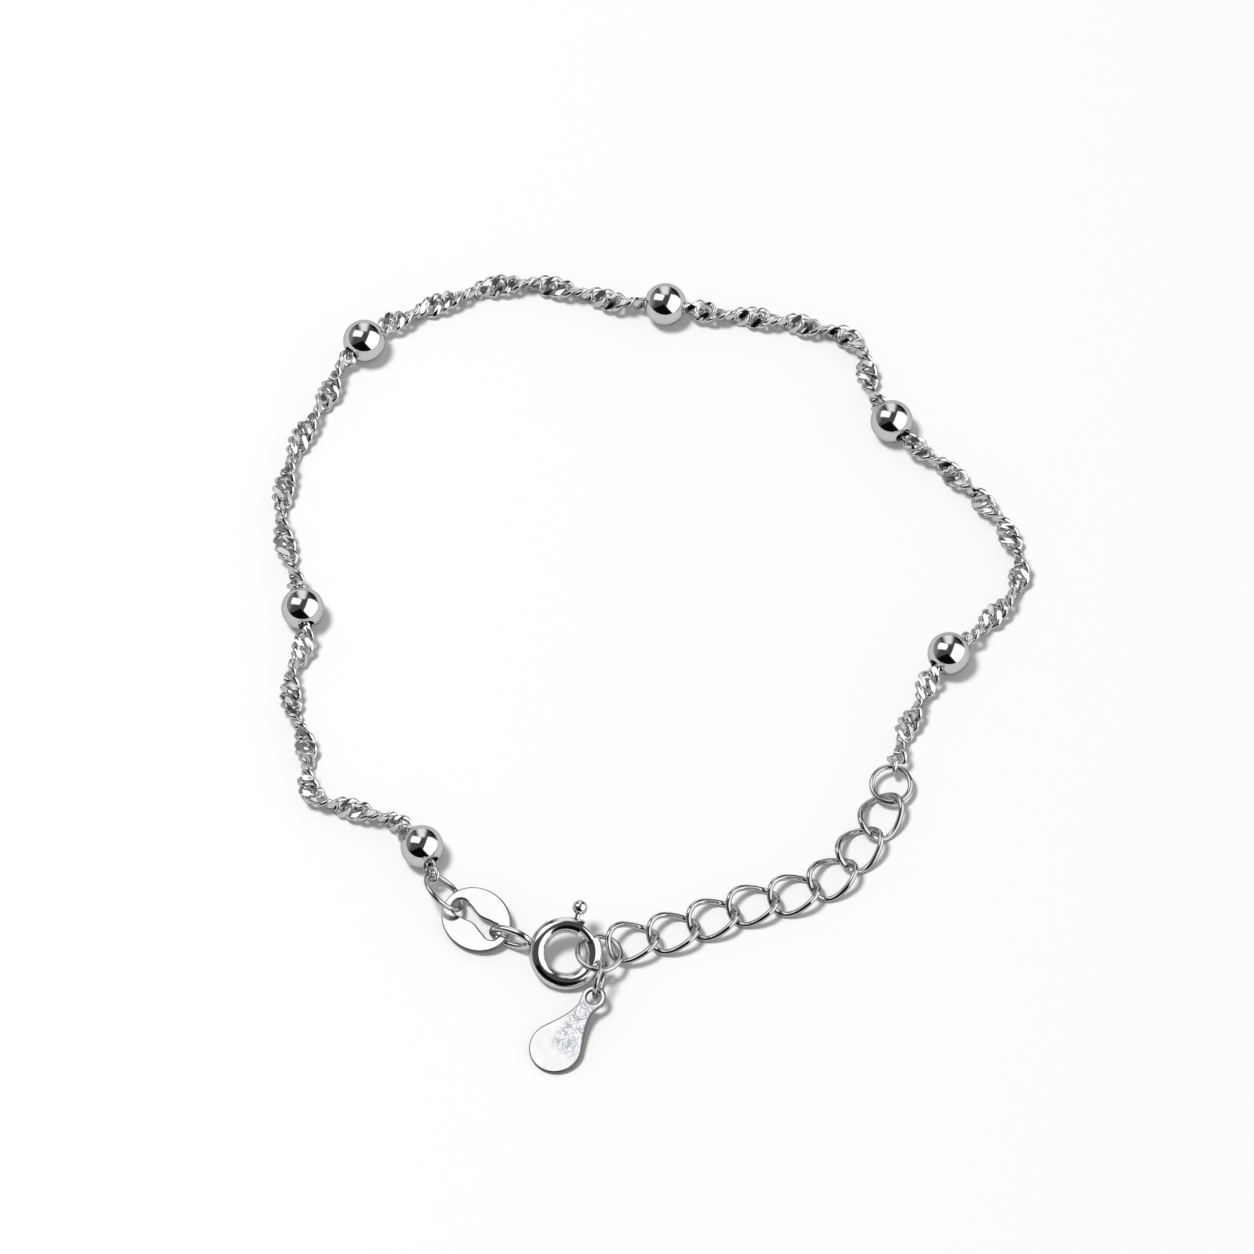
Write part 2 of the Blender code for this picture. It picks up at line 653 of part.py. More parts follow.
def build_drop(last_link, root, ring_material, tag_material):
    """The ring on the first extender link and the drop tag that lies below it."""
    limb_x = (LAST_LINK_LENGTH - EXTENDER_WIRE) / 2 * math.cos(DROP_RING_PLACE)
    limb_y = (LAST_LINK_WIDTH - EXTENDER_WIRE) / 2 * math.sin(DROP_RING_PLACE)
    limb = last_link @ Vector((limb_x, limb_y, 0))
    way = heading(DROP_RING_HEADING, DROP_RING_FALL)
    radius = (DROP_RING_DIAMETER - DROP_RING_WIRE) / 2
    rim_width = (DROP_END_DIAMETER - DROP_HOLE_DIAMETER) / 2
    inner = radius - DROP_RING_WIRE / 2 - DROP_HANG_GAP
    centre = limb + way * (inner - EXTENDER_WIRE / 2)
    rim = centre + way * (inner - rim_width / 2)
    ring_way = way.cross(Vector((0, 0, 1)))
    build_loop("drop_ring", frame(centre, way, ring_way), DROP_RING_DIAMETER,
               DROP_RING_DIAMETER, DROP_RING_WIRE, root, ring_material)
    hole = rim + heading(DROP_RING_HEADING) * (DROP_HOLE_DIAMETER + rim_width) / 2
    reach = DROP_HOLE_TO_BULB + DROP_BULB_DIAMETER / 2
    slope = math.asin((hole.z - DROP_THICKNESS / 2 - DROP_FLOOR_GAP) / reach)
    matrix = frame(hole, heading(DROP_HEADING, slope), Vector((0, 0, 1)))
    plate = flat_plate("drop_tag", drop_outlines(), DROP_THICKNESS)
    place("drop_tag", plate, tag_material, root, matrix)


def smooth_round_pieces():
    """Smooth shading on the swept and joined pieces, sharp only at real edges."""
    for piece in parts.objects:
        if piece.type == "CURVE":
            for spline in piece.data.splines:
                spline.use_smooth = True
        elif piece.type == "MESH" and piece.data.polygons:
            piece.data.shade_smooth()
            piece.data.set_sharp_from_angle(angle=SHARP_ANGLE)


def centre_on_footprint(root):
    """Move the root so that the footprint's middle is at the origin, on the surface."""
    bpy.context.view_layer.update()
    seen = bpy.context.evaluated_depsgraph_get()
    corners = []
    for piece in parts.objects:
        if piece.type != "EMPTY":
            body = piece.evaluated_get(seen)
            mesh = body.to_mesh()
            corners += [body.matrix_world @ vert.co for vert in mesh.vertices]
            body.to_mesh_clear()
    low = [min(corner[axis] for corner in corners) for axis in range(3)]
    high = [max(corner[axis] for corner in corners) for axis in range(3)]
    root.location = (-(low[0] + high[0]) / 2, -(low[1] + high[1]) / 2, -low[2])
    bpy.context.view_layer.update()


def main():
    silver = {name: new_silver(name) for name in SILVER}
    root = place_empty("bracelet", None, Matrix())
    clasp_centre = Vector((CLASP_X, CLASP_Y, CLASP_HEIGHT))
    clasp_matrix = Matrix.Translation(clasp_centre) @ Matrix.Rotation(CLASP_TILT, 4, "X")
    axis = place_empty("clasp_axis", root, clasp_matrix)
    eye_end = build_clasp(axis, silver["clasp_silver"])
    build_trigger(axis, silver["clasp_silver"])

    places = extender_places()
    last_link, end_ring = build_extender(places, root, silver["link_silver"])
    build_drop(last_link, root, silver["link_silver"], silver["tag_silver"])

    tag_hole = build_oval(clasp_matrix, eye_end, root, silver["tag_silver"])
    first_bead = Vector((CHAIN_ROUTE[1][0] * MM, CHAIN_ROUTE[1][1] * MM, BEAD_RADIUS))
    ring_point, ring_way = build_chain_ring(tag_hole, first_bead, root,
                                            silver["link_silver"])
    chain_start = build_end_link("clasp_side_link", ring_point, ring_way, CHAIN_RING_WIRE,
                                 first_bead, root, silver["chain_silver"])
    toward = Vector((CHAIN_ROUTE[-2][0] * MM, CHAIN_ROUTE[-2][1] * MM, CHAIN_HEIGHT))
    end_way = end_ring.inverted() @ toward
    end_angle = math.atan2(end_way.y, end_way.x)
    end_point = end_ring @ (heading(end_angle) * END_RING_RADIUS)
    end_tangent = end_ring.to_3x3() @ heading(end_angle + math.pi / 2)
    chain_end = build_end_link("extender_side_link", end_point, end_tangent, EXTENDER_WIRE,
                               toward, root, silver["chain_silver"])

    line, stops = chain_line(chain_end)
    reach = (chain_start - first_bead).length
    chain_start = first_bead - way_on(line, stops[0]) * reach
    for index, stop in enumerate(stops):
        centre = with_height(place_on(line, stop), BEAD_RADIUS)
        build_bead(f"bead_{index + 1}", centre, way_on(line, stop), root,
                   silver["bead_silver"])
    build_chain(line, stops, chain_start, chain_end, root, silver["chain_silver"])
    smooth_round_pieces()
    centre_on_footprint(root)


clear_scene()
parts = new_collection("chain_bracelet")
cutters = new_collection("cutters")
main()
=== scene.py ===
import json
import math

import bmesh
import bpy
import numpy as np
from mathutils import Matrix, Vector


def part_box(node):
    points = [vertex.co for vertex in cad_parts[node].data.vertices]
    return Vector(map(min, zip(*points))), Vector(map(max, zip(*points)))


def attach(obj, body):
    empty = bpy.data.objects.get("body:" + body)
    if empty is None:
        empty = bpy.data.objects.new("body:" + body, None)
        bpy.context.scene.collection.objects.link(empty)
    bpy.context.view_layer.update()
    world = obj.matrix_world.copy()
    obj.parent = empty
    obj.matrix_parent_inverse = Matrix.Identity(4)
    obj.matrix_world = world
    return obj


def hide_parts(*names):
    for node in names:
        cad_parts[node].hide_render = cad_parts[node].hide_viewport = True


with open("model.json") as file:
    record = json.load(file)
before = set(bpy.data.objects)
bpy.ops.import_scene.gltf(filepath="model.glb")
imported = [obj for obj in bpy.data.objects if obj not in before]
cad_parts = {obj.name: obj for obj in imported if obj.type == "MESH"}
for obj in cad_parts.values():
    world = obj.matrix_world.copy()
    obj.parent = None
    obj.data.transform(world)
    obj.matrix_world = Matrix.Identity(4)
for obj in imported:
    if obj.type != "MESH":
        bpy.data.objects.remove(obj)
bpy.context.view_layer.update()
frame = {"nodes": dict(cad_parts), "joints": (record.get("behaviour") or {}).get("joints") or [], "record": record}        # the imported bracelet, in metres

mm = 0.001
weldDistance = 0.0004 * mm
up = Vector((0, 0, 1))

cameraView = {
    "elevation": math.radians(61),
    "distance": 1200 * mm,
    "frameWidth": 102.83 * mm,
    "lookAt": Vector((-1.861, 4.281, 0)) * mm,
    "sensor": 36.0,
    "nearest": 10 * mm,
    "farthest": 20.0,
}
towardsCamera = Vector((0, -math.cos(cameraView["elevation"]), math.sin(cameraView["elevation"])))

floorLook = {
    "size": 1500 * mm,
    "colour": (0.93, 0.93, 0.93, 1),
    # painted shade: the darker floor colour that only the silver's reflections see
    "mirrored": (0.55, 0.55, 0.56, 1),
    "roughness": 0.75,
    "specular": 0.1,
}

# azimuth is measured from +X round towards +Y
keyLight = {"azimuth": 174, "elevation": 72, "distance": 1.6, "size": 0.36, "power": 18.5}

# the dark and bright parts of the studio that the polished silver mirrors, drawn back to front
room = {
    "fill": 0.47,
    "base": 0.08,
    "floorTone": 0.85,
    "cameraTone": 1.0,
    "cards": [
        {"azimuth": 160, "elevation": 4, "half": (0.4, 0.2), "soft": 0.5, "tone": 0.28},
        {"azimuth": 92, "elevation": 34, "half": (0.16, 0.5), "soft": 0.25, "tone": 1.0},
        {"azimuth": 52, "elevation": 9, "half": (0.2, 0.22), "soft": 0.12, "tone": 0.02},
        {"azimuth": -17, "elevation": 34, "half": (0.84, 0.62), "soft": 0.12, "tone": 1.5},
        {"azimuth": -107, "elevation": 22, "half": (0.72, 0.9), "soft": 0.14, "tone": 0.004, "taper": 1.0},
        {"azimuth": 155, "elevation": 54, "half": (0.2, 0.4), "soft": 0.16, "tone": 1.6},
    ],
}

silverLooks = {
    "beadSilver": {"bright": 0.93, "dim": 0.89, "edge": 0.7, "rough": (0.015, 0.05),
                   "patch": 500, "lines": 0.12},
    "chainSilver": {"bright": 0.97, "dim": 0.84, "edge": 0.6, "rough": (0.06, 0.16),
                    "patch": 900, "lines": 0.5},
    "claspSilver": {"bright": 0.97, "dim": 0.88, "edge": 0.55, "rough": (0.03, 0.08),
                    "patch": 600, "lines": 0.3},
    "linkSilver": {"bright": 0.76, "dim": 0.66, "edge": 0.3, "rough": (0.03, 0.09),
                   "patch": 700, "lines": 0.3},
    "tagSilver": {"bright": 0.8, "dim": 0.77, "edge": 0.6, "rough": (0.1, 0.18),
                  "patch": 500, "lines": 0.05},
}

finishGrain = {
    "tones": (0.3, 0.65),
    "patchDetail": 4,
    "rubScale": 3,
    "rubDetail": 5,
    "lineScale": 1500,
    "lineDetail": 2,
    "lineStretch": (1, 0.11, 1),
    "lineTurn": (0, 0, 0.7),
    "bump": 0.25,
    "depth": 0.004 * mm,
}

# scratches on the drop tag, placed from its hole along its length, and the painted shade along both tags'
# rims
tagScratchesAndRimShade = {
    "along": 2.9 * mm,
    "across": 0.35 * mm,
    "lean": -0.1,
    "half": (1.9 * mm, 0.7 * mm),
    "soft": 0.7 * mm,
    "turns": (0.35, 1.3, 2.4),
    "scale": 5200,
    "stretch": 5.0,
    "threshold": 0.55,
    "contrast": 14.0,
    "colour": (0.42, 0.44, 0.49, 1),
    # painted shade along both plates' rims
    "rimShadeColour": (0.26, 0.26, 0.27, 1),
}


def newPiece(name, work, finish, body, nodes=(), sharpDegrees=38):
    bmesh.ops.remove_doubles(work, verts=work.verts, dist=weldDistance)
    bmesh.ops.recalc_face_normals(work, faces=work.faces)
    mesh = bpy.data.meshes.new(name)
    work.to_mesh(mesh)
    work.free()
    mesh.shade_smooth()
    mesh.set_sharp_from_angle(angle=math.radians(sharpDegrees))
    mesh.materials.append(finish)
    piece = bpy.data.objects.new(name, mesh)
    bpy.context.scene.collection.objects.link(piece)
    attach(piece, body)
    if nodes:
        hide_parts(*nodes)
    return piece


def axesFrame(origin, along, upward):
    # X runs along, Z is as near upward as it can be
    xAxis = along.normalized()
    yAxis = upward.cross(xAxis).normalized()
    zAxis = xAxis.cross(yAxis)
    matrix = Matrix((xAxis, yAxis, zAxis)).transposed().to_4x4()
    matrix.translation = origin
    return matrix


def fitNode(name):
    # the middle and the own axes of a CAD node, longest first and thinnest upwards
    points = np.array([vert.co[:] for vert in frame["nodes"][name].data.vertices])
    points = np.unique(points.round(7), axis=0)
    middle = points.mean(axis=0)
    turn = np.linalg.svd(points - middle, full_matrices=False)[2]
    spans = (points - middle) @ turn.T
    centre = Vector(middle + ((spans.min(axis=0) + spans.max(axis=0)) / 2) @ turn)
    normal = Vector(turn[2])
    if normal.z < 0:
        normal = -normal
    return axesFrame(centre, Vector(turn[0]), normal)


def ringEdges(verts):
    return list({edge for vert in verts for edge in vert.link_edges})


def sweepLoop(work, points, radius, sides, swell=None):
    # a closed wire: a small circle at each point, bridged to the next one
    rings = []
    count = len(points)
    for index, point in enumerate(points):
        along = (points[(index + 1) % count] - points[index - 1]).normalized()
        outward = Vector((point.x, point.y, 0))
        matrix = axesFrame(point, outward - along * outward.dot(along), along)
        share = swell(index / count) if swell else 1.0
        circle = bmesh.ops.create_circle(work, segments=sides, radius=radius * share, matrix=matrix)
        rings.append(ringEdges(circle["verts"]))
    for first, second in zip(rings, rings[1:] + rings[:1]):
        bmesh.ops.bridge_loops(work, edges=first + second)


def loopPoints(length, width, wire, endTwist, count, fullness=1.0):
    # the centre line of a link whose two ends are rolled opposite ways
    halfLength = (length - wire) / 2
    halfWidth = (width - wire) / 2
    rise = math.tan(endTwist) / halfLength
    points = []
    for step in range(count):
        angle = 2 * math.pi * step / count
        x = halfLength * math.copysign(abs(math.cos(angle)) ** fullness, math.cos(angle))
        y = halfWidth * math.copysign(abs(math.sin(angle)) ** fullness, math.sin(angle))
        points.append(Vector((x, y, -rise * x * y)))
    return points


# studio

def addCamera():
    data = bpy.data.cameras.new("camera")
    data.sensor_width = cameraView["sensor"]
    data.lens = cameraView["sensor"] * cameraView["distance"] / cameraView["frameWidth"]
    data.clip_start = cameraView["nearest"]
    data.clip_end = cameraView["farthest"]
    camera = bpy.data.objects.new("camera", data)
    camera.location = cameraView["lookAt"] + towardsCamera * cameraView["distance"]
    camera.rotation_euler = towardsCamera.to_track_quat("Z", "Y").to_euler()
    bpy.context.scene.collection.objects.link(camera)
    bpy.context.scene.camera = camera


def pointing(azimuth, elevation):
    flat = math.cos(math.radians(elevation))
    return Vector((math.cos(math.radians(azimuth)) * flat,
                   math.sin(math.radians(azimuth)) * flat,
                   math.sin(math.radians(elevation))))


def addKeyLight():
    data = bpy.data.lights.new("keyLight", "AREA")
    data.size = keyLight["size"]
    data.energy = keyLight["power"]
    lamp = bpy.data.objects.new("keyLight", data)
    way = pointing(keyLight["azimuth"], keyLight["elevation"])
    lamp.location = cameraView["lookAt"] + way * keyLight["distance"]
    lamp.rotation_euler = way.to_track_quat("Z", "Y").to_euler()
    # the silver mirrors the room's cards and not this lamp
    lamp.visible_glossy = False
    bpy.context.scene.collection.objects.link(lamp)


def mathNode(tree, operation, *values, clamp=False):
    node = tree.nodes.new("ShaderNodeMath")
    node.operation = operation
    node.use_clamp = clamp
    for socket, value in zip(node.inputs, values):
        if isinstance(value, (int, float)):
            socket.default_value = value
        else:
            tree.links.new(value, socket)
    return node.outputs[0]


def dotNode(tree, socket, vector):
    node = tree.nodes.new("ShaderNodeVectorMath")
    node.operation = "DOT_PRODUCT"
    tree.links.new(socket, node.inputs[0])
    node.inputs[1].default_value = vector
    return node.outputs["Value"]


def edgeMask(tree, socket, half, soft):
    # 1 inside the half width, falling to 0 across the soft edge
    span = mathNode(tree, "ABSOLUTE", socket)
    past = mathNode(tree, "SUBTRACT", half + soft, span)
    return mathNode(tree, "DIVIDE", past, soft, clamp=True)


def addRoom():
    world = bpy.data.worlds.new("room")
    bpy.context.scene.world = world
    world.use_nodes = True
    tree = world.node_tree
    tree.nodes.clear()
    way = tree.nodes.new("ShaderNodeTexCoord").outputs["Generated"]
    tone = None
    for card in room["cards"]:
        centre = pointing(card["azimuth"], card["elevation"])
        across = up.cross(centre).normalized()
        upward = centre.cross(across)
        depth = mathNode(tree, "MAXIMUM", dotNode(tree, way, centre), 0.001)
        x = mathNode(tree, "DIVIDE", dotNode(tree, way, across), depth)
        y = mathNode(tree, "DIVIDE", dotNode(tree, way, upward), depth)
        if "taper" in card:
            x = mathNode(tree, "MULTIPLY_ADD", y, card["taper"], mathNode(tree, "ABSOLUTE", x))
        inside = mathNode(tree, "MULTIPLY", edgeMask(tree, x, card["half"][0], card["soft"]),
                          edgeMask(tree, y, card["half"][1], card["soft"]))
        before = tone if tone else room["base"]
        change = mathNode(tree, "SUBTRACT", card["tone"], before)
        tone = mathNode(tree, "ADD", before, mathNode(tree, "MULTIPLY", inside, change))
    height = dotNode(tree, way, up)
    below = mathNode(tree, "LESS_THAN", height, 0.0)
    change = mathNode(tree, "SUBTRACT", room["floorTone"], tone)
    tone = mathNode(tree, "ADD", tone, mathNode(tree, "MULTIPLY", below, change))
    # an even fill lights the matt floor, and the camera sees plain white past its edge
    rays = tree.nodes.new("ShaderNodeLightPath")
    for ray, value in (("Is Diffuse Ray", room["fill"]), ("Is Camera Ray", room["cameraTone"])):
        change = mathNode(tree, "SUBTRACT", value, tone)
        tone = mathNode(tree, "ADD", tone, mathNode(tree, "MULTIPLY", rays.outputs[ray], change))
    shade = tree.nodes.new("ShaderNodeBackground")
    tree.links.new(tone, shade.inputs["Strength"])
    output = tree.nodes.new("ShaderNodeOutputWorld")
    tree.links.new(shade.outputs[0], output.inputs["Surface"])
    bpy.context.scene.view_settings.view_transform = "Standard"


def addFloor():
    work = bmesh.new()
    bmesh.ops.create_grid(work, x_segments=1, y_segments=1, size=floorLook["size"])
    mesh = bpy.data.meshes.new("floor")
    work.to_mesh(mesh)
    work.free()
    material = bpy.data.materials.new("palePaper")
    material.use_nodes = True
    shader = material.node_tree.nodes["Principled BSDF"]
    # the silver is shown this paper darker than the camera sees it: painted shade in the floor's reflection
    rays = material.node_tree.nodes.new("ShaderNodeLightPath")
    mix = material.node_tree.nodes.new("ShaderNodeMix")
    mix.data_type = "RGBA"
    material.node_tree.links.new(rays.outputs["Is Glossy Ray"], mix.inputs["Factor"])
    mix.inputs["A"].default_value = floorLook["colour"]
    mix.inputs["B"].default_value = floorLook["mirrored"]
    material.node_tree.links.new(mix.outputs["Result"], shader.inputs["Base Color"])
    shader.inputs["Roughness"].default_value = floorLook["roughness"]
    shader.inputs["Specular IOR Level"].default_value = floorLook["specular"]
    mesh.materials.append(material)
    floor = bpy.data.objects.new("floor", mesh)
    bpy.context.scene.collection.objects.link(floor)


# silver

def mapRange(tree, socket, low, high, fromLow=0.3, fromHigh=0.7):
    node = tree.nodes.new("ShaderNodeMapRange")
    tree.links.new(socket, node.inputs["Value"])
    node.inputs["From Min"].default_value = fromLow
    node.inputs["From Max"].default_value = fromHigh
    node.inputs["To Min"].default_value = low
    node.inputs["To Max"].default_value = high
    return node.outputs["Result"]


def noiseNode(tree, socket, scale, detail=3.0, stretch=(1, 1, 1), turn=(0, 0, 0)):
    mapping = tree.nodes.new("ShaderNodeMapping")
    mapping.vector_type = "TEXTURE"
    mapping.inputs["Scale"].default_value = stretch
    mapping.inputs["Rotation"].default_value = turn
    tree.links.new(socket, mapping.inputs["Vector"])
    node = tree.nodes.new("ShaderNodeTexNoise")
    node.inputs["Scale"].default_value = scale
    node.inputs["Detail"].default_value = detail
    tree.links.new(mapping.outputs["Vector"], node.inputs["Vector"])
    return node.outputs["Fac"]


def mixColour(tree, share, colour, other):
    mix = tree.nodes.new("ShaderNodeMix")
    mix.data_type = "RGBA"
    tree.links.new(share, mix.inputs["Factor"])
    tree.links.new(colour, mix.inputs["A"])
    mix.inputs["B"].default_value = other
    return mix.outputs["Result"]


def addStrokes(tree, place, colour):
    # fine crossing lines inside a soft patch, in the tag's own frame
    inverse = dropMatrix().inverted()
    mapping = tree.nodes.new("ShaderNodeMapping")
    mapping.inputs["Location"].default_value = inverse.translation
    mapping.inputs["Rotation"].default_value = inverse.to_euler()
    tree.links.new(place, mapping.inputs["Vector"])
    split = tree.nodes.new("ShaderNodeSeparateXYZ")
    tree.links.new(mapping.outputs["Vector"], split.inputs["Vector"])
    along = mathNode(tree, "SUBTRACT", split.outputs["X"], tagScratchesAndRimShade["along"])
    across = mathNode(tree, "SUBTRACT", split.outputs["Y"], tagScratchesAndRimShade["across"])
    lean = mathNode(tree, "MULTIPLY_ADD", along, tagScratchesAndRimShade["lean"], across)
    mask = mathNode(tree, "MULTIPLY", edgeMask(tree, along, tagScratchesAndRimShade["half"][0], tagScratchesAndRimShade["soft"]),
                    edgeMask(tree, lean, tagScratchesAndRimShade["half"][1], tagScratchesAndRimShade["soft"]))
    amount = 0.0
    for turn in tagScratchesAndRimShade["turns"]:
        noise = noiseNode(tree, mapping.outputs["Vector"], tagScratchesAndRimShade["scale"], 1, (tagScratchesAndRimShade["stretch"], 1, 1),
                          (0, 0, turn))
        line = mathNode(tree, "MULTIPLY_ADD", noise, tagScratchesAndRimShade["contrast"],
                        -tagScratchesAndRimShade["threshold"] * tagScratchesAndRimShade["contrast"], clamp=True)
        amount = mathNode(tree, "MAXIMUM", amount, line)
    return mixColour(tree, mathNode(tree, "MULTIPLY", amount, mask), colour, tagScratchesAndRimShade["colour"])


def makeSilver(name):
    look = silverLooks[name]
    material = bpy.data.materials.new(name)
    material.use_nodes = True
    tree = material.node_tree
    shader = tree.nodes["Principled BSDF"]
    shader.inputs["Metallic"].default_value = 1
    shader.inputs["Specular Tint"].default_value = (look["edge"], look["edge"], look["edge"], 1)
    place = tree.nodes.new("ShaderNodeTexCoord").outputs["Object"]
    patches = noiseNode(tree, place, look["patch"], finishGrain["patchDetail"])
    ramp = tree.nodes.new("ShaderNodeValToRGB")
    ramp.color_ramp.elements[0].position = finishGrain["tones"][0]
    ramp.color_ramp.elements[0].color = (look["dim"], look["dim"], look["dim"] * 1.01, 1)
    ramp.color_ramp.elements[1].position = finishGrain["tones"][1]
    ramp.color_ramp.elements[1].color = (look["bright"], look["bright"], look["bright"], 1)
    tree.links.new(patches, ramp.inputs["Fac"])
    colour = ramp.outputs["Color"]
    if name == "tagSilver":
        colour = addStrokes(tree, place, colour)
        # painted shade: the plates' rims take a darker colour
        rim = tree.nodes.new("ShaderNodeAttribute")
        rim.attribute_name = "rim"
        colour = mixColour(tree, rim.outputs["Fac"], colour, tagScratchesAndRimShade["rimShadeColour"])
    tree.links.new(colour, shader.inputs["Base Color"])
    rubbed = noiseNode(tree, place, look["patch"] * finishGrain["rubScale"], finishGrain["rubDetail"])
    tree.links.new(mapRange(tree, rubbed, *look["rough"]), shader.inputs["Roughness"])
    lines = noiseNode(tree, place, finishGrain["lineScale"], finishGrain["lineDetail"],
                      finishGrain["lineStretch"], finishGrain["lineTurn"])
    bump = tree.nodes.new("ShaderNodeBump")
    bump.inputs["Strength"].default_value = finishGrain["bump"]
    bump.inputs["Distance"].default_value = finishGrain["depth"] * look["lines"]
    tree.links.new(lines, bump.inputs["Height"])
    tree.links.new(bump.outputs["Normal"], shader.inputs["Normal"])
    return material


# ball beads

beads = {
    "radius": 1.75 * mm,
    "bore": 0.7 * mm,
    "lip": 0.07 * mm,
    "lipDrop": 0.05 * mm,
    "segments": 72,
    "rings": 48,
}


def shapeBead(matrix):
    work = bmesh.new()
    bmesh.ops.create_uvsphere(work, u_segments=beads["segments"], v_segments=beads["rings"],
                              radius=beads["radius"])
    mouth = math.sqrt(beads["radius"] ** 2 - beads["bore"] ** 2)
    mouths = []
    for side in (1, -1):
        everything = work.verts[:] + work.edges[:] + work.faces[:]
        bmesh.ops.bisect_plane(work, geom=everything, plane_co=(0, 0, side * mouth),
                               plane_no=(0, 0, side), clear_outer=True)
    for side in (1, -1):
        rim = [edge for edge in work.edges if edge.is_boundary and edge.verts[0].co.z * side > 0]
        share = (beads["bore"] - beads["lip"]) / beads["bore"]
        for step in range(2):
            grown = bmesh.ops.extrude_edge_only(work, edges=rim)["geom"]
            verts = [item for item in grown if isinstance(item, bmesh.types.BMVert)]
            rim = [item for item in grown if isinstance(item, bmesh.types.BMEdge)]
            narrow = share if step == 0 else 1.0
            bmesh.ops.scale(work, vec=(narrow, narrow, 1), verts=verts)
            drop = beads["lipDrop"] if step == 0 else beads["lip"]
            bmesh.ops.translate(work, vec=(0, 0, -side * drop), verts=verts)
        mouths += rim
    bmesh.ops.bridge_loops(work, edges=mouths)
    bmesh.ops.transform(work, matrix=matrix, verts=work.verts)
    return work


# chain route in plan, in millimetres, from the clasp round to the extender

route = [
    (-17.47, -20.33, 0), (-18.53, -18.55, 1), (-20.3, -16.36, 0), (-22.74, -15.13, 0),
    (-26.0, -14.2, 0), (-27.36, -13.42, 0), (-28.04, -11.87, 0), (-27.96, -9.9, 0),
    (-28.29, -8.12, 0), (-29.14, -5.73, 0), (-29.4, -3.53, 0), (-29.35, -1.81, 0),
    (-28.65, -0.53, 0), (-28.21, 1.66, 0), (-28.46, 3.58, 1), (-29.37, 7.55, 0),
    (-30.32, 11.66, 0), (-30.26, 14.44, 0), (-29.77, 17.29, 0), (-28.95, 19.82, 0),
    (-27.72, 22.26, 0), (-26.65, 24.13, 0), (-25.75, 26.39, 0), (-23.63, 28.92, 1),
    (-21.62, 30.8, 0), (-17.88, 32.74, 0), (-14.76, 34.02, 0), (-11.48, 34.82, 0),
    (-8.16, 34.58, 0), (-5.47, 33.88, 0), (-2.87, 33.04, 0), (-0.95, 32.71, 0),
    (1.28, 32.42, 1), (3.9, 32.08, 0), (7.38, 31.73, 0), (10.42, 31.35, 0),
    (14.44, 30.39, 0), (16.93, 29.29, 0), (17.79, 27.04, 0), (18.34, 24.18, 0),
    (19.95, 21.25, 1), (21.48, 19.54, 0), (24.78, 16.81, 0), (27.45, 13.94, 0),
    (29.19, 11.47, 0), (30.3, 8.38, 0), (29.93, 5.85, 0), (28.04, 3.22, 0),
    (26.57, 1.58, 0), (24.44, -0.63, 1), (22.94, -2.51, 0), (21.98, -4.84, 0),
    (20.67, -7.75, 0), (20.21, -9.29, 0),
]

chain = {
    "linkLength": 2.16 * mm,
    "linkWidth": 1.9 * mm,
    "wire": 0.46 * mm,
    "endTwist": math.radians(81),
    "cut": 0.4 * mm,
    "pitch": 1.1 * mm,
    "height": 0.95 * mm,
    "riseLength": 3.2 * mm,
    "inBead": 0.56,
    "narrowFrom": 1.5 * mm,
    "narrowTo": 2.6 * mm,
    "endShift": 0.98 * mm,
    "linePoints": 24,
    "wireSides": 8,
    "routeSteps": 12,
    "wayStep": 0.4 * mm,
    "sharpDegrees": 50,
}

# how far the chain has twisted, in half turns, at some lengths along it in millimetres;
# at a whole number its links lie broad side up
twistPlaces = [
    (0, -2), (10, 0), (17.7, 2), (25.2, 3.5), (34.9, 5.5), (50.4, 8.5), (65.1, 12),
    (70.7, 13), (75.2, 14), (80, 15), (89.9, 17.5), (92.5, 18), (96.2, 19), (114.4, 23.5),
    (116.6, 24), (122, 25.5), (129.9, 27.5), (132.4, 28), (149, 32),
]


def boxCentre(node):
    low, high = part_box(node)
    return (low + high) / 2


def chainPath():
    # a dense smooth line through the route, as lengths, places and the beads' lengths
    middle = boxCentre("bead_4")
    anchor = route[32]
    shift = Vector((middle.x - anchor[0] * mm, middle.y - anchor[1] * mm, 0))
    points = [Vector((x * mm, y * mm, 0)) + shift for x, y, bead in route]
    first = boxCentre("clasp_side_link")
    last = boxCentre("extender_side_link")
    points[0] = Vector((first.x, first.y, 0))
    points[-1] = Vector((last.x, last.y, 0))
    padded = [points[0] * 2 - points[1]] + points + [points[-1] * 2 - points[-2]]
    places = []
    for before, start, end, after in zip(padded, padded[1:], padded[2:], padded[3:]):
        for step in range(chain["routeSteps"]):
            t = step / chain["routeSteps"]
            near = start * (2 * t ** 3 - 3 * t ** 2 + 1) + (end - before) / 2 * (t ** 3 - 2 * t ** 2 + t)
            far = end * (3 * t ** 2 - 2 * t ** 3) + (after - start) / 2 * (t ** 3 - t ** 2)
            places.append(near + far)
    places.append(points[-1])
    lengths = [0.0]
    for one, two in zip(places, places[1:]):
        lengths.append(lengths[-1] + (two - one).length)
    stops = [lengths[index * chain["routeSteps"]] for index, row in enumerate(route) if row[2]]
    grid = np.array([point[:] for point in places])
    ends = (first.z, last.z)
    return np.array(lengths), (grid[:, 0], grid[:, 1]), stops, ends


